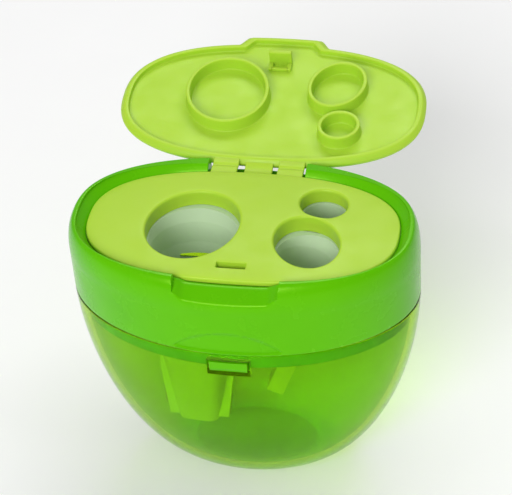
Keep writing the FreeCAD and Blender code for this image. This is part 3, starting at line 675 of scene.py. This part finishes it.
def head_row(a, b, n, z, limited):
    """One row of the head, lowered where a cut crosses it and pressed in over the half-moon."""
    row = []
    for t in COLUMNS:
        x, y = body_point(t, a, b, n)
        height = z
        if limited:
            scoop = 1 - smooth(abs(x), RECESS[0][0], RECESS[1][0])
            height = soft_min(z, head_limit(x, y), CREST_BLEND + SCOOP_BLEND * scoop * (y < 0))
        if y < 0 and limited and z < SHOULDER_Z:
            reach = math.hypot(x, z - (ARC_TOP - ARC_R))
            y += ARC_DEPTH * (1 - smooth(reach, ARC_R - ARC_EASE[0], ARC_R + ARC_EASE[1]))
        row.append((x, y, height))
    return row


def build_head():
    solid = Solid()
    sections = skirt_and_collar() + crest_and_seat() + head_inside()
    solid.strip([head_row(*section) for section in sections], close_rows=True)
    piece = solid.make("head_cover", HEAD_GREEN)
    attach(piece, "head")
    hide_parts("head_shell")


# ---------------------------------------------------------------- deck
def opening_loop(name, grow):
    """Outline of one opening, grown outwards."""
    (cx, cy), (a, b), turn = OPENINGS[name]
    c, s = math.cos(math.radians(turn)), math.sin(math.radians(turn))
    loop = []
    for i in range(HOLE_POINTS):
        t = 2 * math.pi * i / HOLE_POINTS
        x, y = (a + grow) * math.cos(t), (b + grow) * math.sin(t)
        loop.append((cx + x * c - y * s, cy + x * s + y * c))
    return loop


def rounded_slot(half, t, y, r, count=8):
    """Outline of a slot with round corners."""
    loop = []
    for k, (sx, sy) in enumerate(((1, 1), (-1, 1), (-1, -1), (1, -1))):
        for i in range(count + 1):
            angle = math.radians(90 * k + 90 * i / count)
            loop.append((sx * (half - r) + r * math.cos(angle), y + sy * (t / 2 - r) + r * math.sin(angle)))
    return loop


def dome(x, y):
    """Height of the deck's gently domed top."""
    reach = (x / (DECK_A * DOME_SPREAD)) ** 2 + (y / (DECK_B * DOME_SPREAD)) ** 2
    return DECK_TOP - DOME_RISE + DOME_RISE * math.sqrt(max(1 - reach, 0.0))


def deck_loop(inset):
    """Deck's outline, shrunk by inset."""
    a, b = DECK_A - inset, DECK_B - inset
    loop = []
    for t in even_angles(DECK_COLUMNS):
        x = a * math.cos(t)
        y = oval_y(x, a, b, OVAL_N)
        loop.append((x, y if t < math.pi else -y))
    return loop


def growth_room(name, most):
    """How far each point of an opening's outline may grow before it nears another opening."""
    own = np.array(opening_loop(name, 0.0))
    room = np.full(len(own), most)
    for other in OPENINGS:
        if other != name:
            loop = np.array(opening_loop(other, 0.0))
            gap = np.sqrt(((own[:, None] - loop[None]) ** 2).sum(2)).min(1)
            room = np.minimum(room, gap * ROOM_SHARE)
    return room


def grown_loop(name, room, share):
    """Opening outline grown by a share of the room round it."""
    own = np.array(opening_loop(name, 0.0))
    ahead = np.roll(own, -1, 0) - np.roll(own, 1, 0)
    normal = np.stack([ahead[:, 1], -ahead[:, 0]], 1)
    normal /= np.linalg.norm(normal, axis=1)[:, None]
    return [tuple(p) for p in own + normal * (room * share)[:, None]]


def level(loop, z):
    return [(x, y, z) for x, y in loop]


def opening_rows(name):
    """An opening's rounded lip, its wall down through the tube, and the tube's outside."""
    lip = growth_room(name, HOLE_LIP)
    tube = growth_room(name, TUBE_WALL)
    rows = []
    for s, c in quarter(6):
        loop = grown_loop(name, lip, 1 - s)
        rows.append([(x, y, dome(x, y) - lip[i] * (1 - c)) for i, (x, y) in enumerate(loop)])
    wall = grown_loop(name, lip, 0.0)
    rows += [level(wall, z) for z in (*TUBE_HEIGHTS, TUBE_Z + TUBE_ROUND)]
    rows += [level(grown_loop(name, tube, share), TUBE_Z) for share in TUBE_TIP]
    rows += [level(grown_loop(name, tube, 1.0), z) for z in (TUBE_Z + TUBE_ROUND, DECK_UNDER)]
    return rows


def slot_rows():
    """The latch slot's rounded lip and its wall."""
    rows = []
    for s, c in quarter(4):
        grow = SLOT_LIP * (1 - s)
        loop = rounded_slot(SLOT_HALF + grow, SLOT_T + 2 * grow, LATCH_Y, SLOT_CORNER + grow)
        rows.append([(x, y, dome(x, y) - SLOT_LIP * (1 - c)) for x, y in loop])
    rows.append(level(rounded_slot(SLOT_HALF, SLOT_T, LATCH_Y, SLOT_CORNER), DECK_UNDER))
    return rows


def edge_rows():
    """The deck's rounded outer edge."""
    rows = []
    for s, c in quarter(5):
        loop = deck_loop(DECK_EDGE * (1 - s))
        rows.append([(x, y, dome(x, y) - DECK_EDGE * (1 - c)) for x, y in loop])
    rows.append(level(deck_loop(0.0), DECK_UNDER + DECK_UNDER_EDGE))
    rows.append(level(deck_loop(DECK_UNDER_EDGE), DECK_UNDER))
    return rows


def build_deck():
    solid = Solid()
    cuts = [opening_rows(name) for name in OPENINGS] + [slot_rows()]
    edge = edge_rows()
    for rows in (*cuts, edge):
        solid.strip(rows)
    solid.fill(flat(edge[0]), [flat(rows[0]) for rows in cuts], dome)
    solid.fill(flat(edge[-1]), [flat(rows[-1]) for rows in cuts], lambda x, y: DECK_UNDER, UNDER_FILL)
    piece = solid.make("deck_plate", LID_GREEN, PLATE_SHARP)
    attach(piece, "head")
    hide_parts("deck")


# ---------------------------------------------------------------- lid
def lid_angles():
    """Angles of the lid's columns, with close ones round the tab's sides."""
    angles = even_angles(LID_COLUMN_COUNT)
    for k in range(TAB_COLUMNS):
        a = math.acos((TAB_COLUMN_X + TAB_COLUMN_STEP * k) / LID_A)
        angles += [math.pi + a, 2 * math.pi - a]
    return spaced(angles, LID_COLUMN_GAP)


LID_COLUMNS = lid_angles()


def lid_loop(inset):
    """Lid's outline with its front tab, shrunk by inset."""
    a, b = LID_A - inset, LID_B - inset
    inner_ease, outer_ease = TAB_EASE
    loop = []
    for t in LID_COLUMNS:
        x = a * math.cos(t)
        y = oval_y(x, a, b, OVAL_N)
        if t > math.pi:
            tab = 1 - smooth(abs(x), TAB_HALF - inner_ease - inset, TAB_HALF + outer_ease - inset)
            front = -TAB_Y - inset - TAB_CROWN * x * x
            y = -(y * (1 - tab) + max(front, y) * tab)
        loop.append((x, y))
    return loop


def open_lid(points):
    """Points of the shut lid, turned to the open pose that the frame is stored in."""
    return turned(points, HINGE_Y, HINGE_Z, -OPEN_ANGLE)


def lid_profile():
    """Lid's side from its top down, round its edge and up inside: inset and height."""
    profile = [(LID_ROUND * (1 - s), LID_TOP - LID_ROUND * (1 - c)) for s, c in quarter(9)]
    profile += [(inset, LID_LOW + rise) for inset, rise in LID_EDGE]
    profile += [(LID_RIM + LID_FILLET - LID_FILLET * c, LID_CEILING - LID_FILLET + LID_FILLET * s)
                for s, c in quarter(4)]
    return profile


def ring_profile():
    """A plug ring from the ceiling down its outside, round its tip and up its bore: growth and height."""
    outside, bore = -RING_CLEAR, -RING_CLEAR - RING_WALL
    draft_mid, draft = RING_DRAFT
    round_z = RING_TIP_Z + RING_ROUND
    profile = [(outside + RING_FILLET * (1 - s), LID_CEILING - RING_FILLET * (1 - c)) for s, c in quarter(4)]
    profile += [(outside - draft_mid, RING_MID_Z), (outside - draft, round_z)]
    profile += [(outside - draft - RING_ROUND * (1 - c), round_z - RING_ROUND * s) for s, c in quarter(4)[1:]]
    profile += [(bore + RING_BORE_EASE - RING_ROUND * s, round_z - RING_ROUND * c) for s, c in quarter(4)]
    profile.append((bore, RING_MID_Z))
    profile += [(bore - RING_FILLET * (1 - c), LID_CEILING - RING_FILLET + RING_FILLET * s)
                for s, c in quarter(4)]
    return profile


def build_lid():
    solid = Solid()
    rows = [level(lid_loop(inset), z) for inset, z in lid_profile()]
    solid.strip(rows)
    rings = []
    for name in OPENINGS:
        ring = [level(opening_loop(name, grow), z) for grow, z in ring_profile()]
        solid.strip(ring)
        solid.fill(flat(ring[-1]), [], lambda x, y: LID_CEILING, LID_FILL)
        rings.append(flat(ring[0]))
    solid.fill(flat(rows[-1]), rings, lambda x, y: LID_CEILING, LID_FILL)
    solid.fill(flat(rows[0]), [], lambda x, y: LID_TOP, LID_TOP_FILL)
    piece = solid.make("lid_shell", LID_GREEN, PLATE_SHARP, open_lid)
    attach(piece, "lid")
    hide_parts("lid")


# ---------------------------------------------------------------- latch under the lid
def soft_box(name, material, low, high, round_by, turn):
    """Block with rounded edges, turned into place."""
    bm = bmesh.new()
    bmesh.ops.create_cube(bm, size=1.0)
    for v in bm.verts:
        for axis in range(3):
            v.co[axis] = (low[axis] + high[axis]) / 2 + v.co[axis] * (high[axis] - low[axis])
    bmesh.ops.bevel(bm, geom=bm.edges[:], offset=round_by, segments=3, affect="EDGES", profile=0.5)
    for v, p in zip(bm.verts, turn([tuple(v.co) for v in bm.verts])):
        v.co = Vector(p) * MM
    mesh = bpy.data.meshes.new(name)
    bm.to_mesh(mesh)
    bm.free()
    return finish_mesh(name, mesh, material, BOX_SHARP)


def latch_block(name, x, y, z, round_by):
    """Block of the latch between pairs of x, y from the latch's middle, and z."""
    low = (x[0], LATCH_Y + y[0], z[0])
    high = (x[1], LATCH_Y + y[1], z[1])
    piece = soft_box(name, LID_GREEN, low, high, round_by, open_lid)
    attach(piece, "lid")


def build_latch():
    """Hook under the lid: a leaf with a barb and a hollow brace behind it."""
    root = LID_CEILING + LATCH_ROOT
    across = (-LATCH_HALF, LATCH_HALF)
    brace_z = (BRACE_LOW, root)
    latch_block("latch_leaf", across, (-LEAF_HALF_T, LEAF_HALF_T), (LEAF_LOW, root), LEAF_ROUND)
    latch_block("latch_barb", across, BARB_Y, BARB_Z, BARB_ROUND)
    latch_block("latch_side_left", (-LATCH_HALF, -LATCH_HALF + BRACE_WALL), BRACE_Y, brace_z, BRACE_ROUND)
    latch_block("latch_side_right", (LATCH_HALF - BRACE_WALL, LATCH_HALF), BRACE_Y, brace_z, BRACE_ROUND)
    latch_block("latch_back", (-LATCH_HALF + BRACE_BACK_IN, LATCH_HALF - BRACE_BACK_IN),
                (BRACE_BACK_Y, BRACE_Y[1]), brace_z, BRACE_ROUND)


# ---------------------------------------------------------------- film hinges
def strap_row(x0, x1, y, high, low, r):
    """A strap's cross-section at y, with cut corners."""
    return [(x0 + r, y, high), (x1 - r, y, high), (x1, y, high - r), (x1, y, low + r),
            (x1 - r, y, low), (x0 + r, y, low), (x0, y, low + r), (x0, y, high - r)]


def make_strap(name, rows, node):
    """Strap through its rows with closed ends, standing for a CAD node, which it hides."""
    solid = Solid()
    solid.strip(rows)
    for row in (rows[0], rows[-1]):
        solid.add(list(row), [tuple(range(len(row)))])
    piece = solid.make(name, LID_GREEN, STRAP_SHARP)
    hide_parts(node)
    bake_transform(piece)


def build_strap(name, x0, x1, node):
    """One living hinge: a strap off the deck and a strap off the lid, thinned to a film between."""
    top = HINGE_Z - STRAP_DROP
    under = top - STRAP_T
    y0, y1 = DECK_B - STRAP_ROOT_DECK, 2 * HINGE_Y - LID_B + STRAP_ROOT_LID
    rows = []
    for i in range(STRAP_STEPS + 1):
        y = y0 + (y1 - y0) * i / STRAP_STEPS
        crease = math.exp(-((y - HINGE_Y) / CREASE_SPREAD) ** 2)
        high, low = top - CREASE_TOP * crease, under + CREASE_UNDER * crease
        rows.append(strap_row(x0, x1, y, high, low, STRAP_ROUND))
    make_strap(name, rows, node)


def build_snap_strap():
    """Arched middle strap that flips the lid open or shut."""
    y0, y1 = DECK_B - SNAP_ROOT_DECK, 2 * HINGE_Y - LID_B + SNAP_ROOT_LID
    rows = []
    for i in range(SNAP_STEPS + 1):
        u = i / SNAP_STEPS
        sag = SNAP_SAG * math.sin(math.pi * u)
        high, low = HINGE_Z - SNAP_TOP - sag, HINGE_Z - SNAP_UNDER - sag
        rows.append(strap_row(-SNAP_HALF, SNAP_HALF, y0 + (y1 - y0) * u, high, low, SNAP_ROUND))
    make_strap("snap_strap", rows, "hinge_snap_strap")


# ---------------------------------------------------------------- carried-over pieces
def dress_cad():
    """Gives the catch, the sharpener bodies, blades and screws their finish."""
    finishes = {"catch_tongue": HEAD_GREEN}
    for size in OPENINGS:
        # the bodies' colour carries painted shade and green light
        finishes["sharpener_body_" + size] = WHITE_WITH_PAINTED_GREEN_SHADE
        finishes["blade_" + size] = STEEL
        finishes["blade_screw_" + size] = ZINC
    for node, material in finishes.items():
        for slot in frame["nodes"][node].material_slots:
            slot.material = material


# ---------------------------------------------------------------- room, light, camera; in metres
FLOOR_HALF = 3.0
WORLD_STRENGTH = 0.36
LIGHT_AIM = (0.0, 0.0, 0.04)
# Each lamp: its place, size and power in watts.
LAMPS = {
    "key": ((-0.14, -0.75, 0.55), (0.50, 0.40), 6.0),
    "back": ((0.10, 0.50, 0.70), (0.70, 0.25), 3.0),
}
VIEW_AZIMUTH, VIEW_ELEVATION, VIEW_ROLL = (math.radians(v) for v in (12.0, 39.93, -3.95))
VIEW_DISTANCE, VIEW_TARGET = 0.33215, (0.00231, 0.0, 0.05014)
SENSOR_MM, FOCAL_SHARE, NEAR_CLIP = 36.0, 1785.7 / 512.0, 0.01


def build_stage():
    half = FLOOR_HALF
    corners = [(-half, -half, 0), (half, -half, 0), (half, half, 0), (-half, half, 0)]
    mesh = bpy.data.meshes.new("floor")
    mesh.from_pydata(corners, [], [(0, 1, 2, 3)])
    floor = bpy.data.objects.new("floor", mesh)
    bpy.context.scene.collection.objects.link(floor)
    material, nodes, links, shader = new_material("floor_white")
    tooth = noise(nodes, links, object_coords(nodes), scale=60.0, detail=3.0)
    paint = colour_mix(nodes, links, tooth, (0.95, 0.95, 0.95), (0.97, 0.97, 0.97))
    links.new(paint, shader.inputs["Base Color"])
    set_sockets(shader, {"Roughness": 0.9, "Specular IOR Level": 0.1})
    mesh.materials.append(material)


def build_light():
    scene = bpy.context.scene
    scene.world = bpy.data.worlds.new("studio")
    scene.world.use_nodes = True
    set_sockets(scene.world.node_tree.nodes["Background"],
                {"Color": (1.0, 1.0, 1.0, 1.0), "Strength": WORLD_STRENGTH})
    for name, (place, size, power) in LAMPS.items():
        light = bpy.data.lights.new(name, "AREA")
        light.shape = "RECTANGLE"
        light.size, light.size_y = size
        light.energy = power
        lamp = bpy.data.objects.new(name, light)
        lamp.location = place
        lamp.rotation_euler = (Vector(LIGHT_AIM) - Vector(place)).to_track_quat("-Z", "Y").to_euler()
        scene.collection.objects.link(lamp)
    scene.view_settings.view_transform = "Standard"


def build_camera():
    back = Vector((math.sin(VIEW_AZIMUTH) * math.cos(VIEW_ELEVATION),
                   -math.cos(VIEW_AZIMUTH) * math.cos(VIEW_ELEVATION), math.sin(VIEW_ELEVATION)))
    right = Vector((math.cos(VIEW_AZIMUTH), math.sin(VIEW_AZIMUTH), 0.0))
    up = back.cross(right)
    side = right * math.cos(VIEW_ROLL) + up * math.sin(VIEW_ROLL)
    above = up * math.cos(VIEW_ROLL) - right * math.sin(VIEW_ROLL)
    camera = bpy.data.cameras.new("camera")
    camera.sensor_width = SENSOR_MM
    camera.lens = FOCAL_SHARE * SENSOR_MM
    camera.clip_start = NEAR_CLIP
    matrix = Matrix((side, above, back)).transposed().to_4x4()
    matrix.translation = Vector(VIEW_TARGET) + back * VIEW_DISTANCE
    holder = bpy.data.objects.new("camera", camera)
    holder.matrix_world = matrix
    bpy.context.scene.collection.objects.link(holder)
    bpy.context.scene.camera = holder


build_bin()
build_head()
build_deck()
build_lid()
build_latch()
build_strap("hinge_left", -STRAP_X[1], -STRAP_X[0], "hinge_film_left")
build_strap("hinge_right", STRAP_X[0], STRAP_X[1], "hinge_film_right")
build_snap_strap()
dress_cad()
build_stage()
build_light()
build_camera()
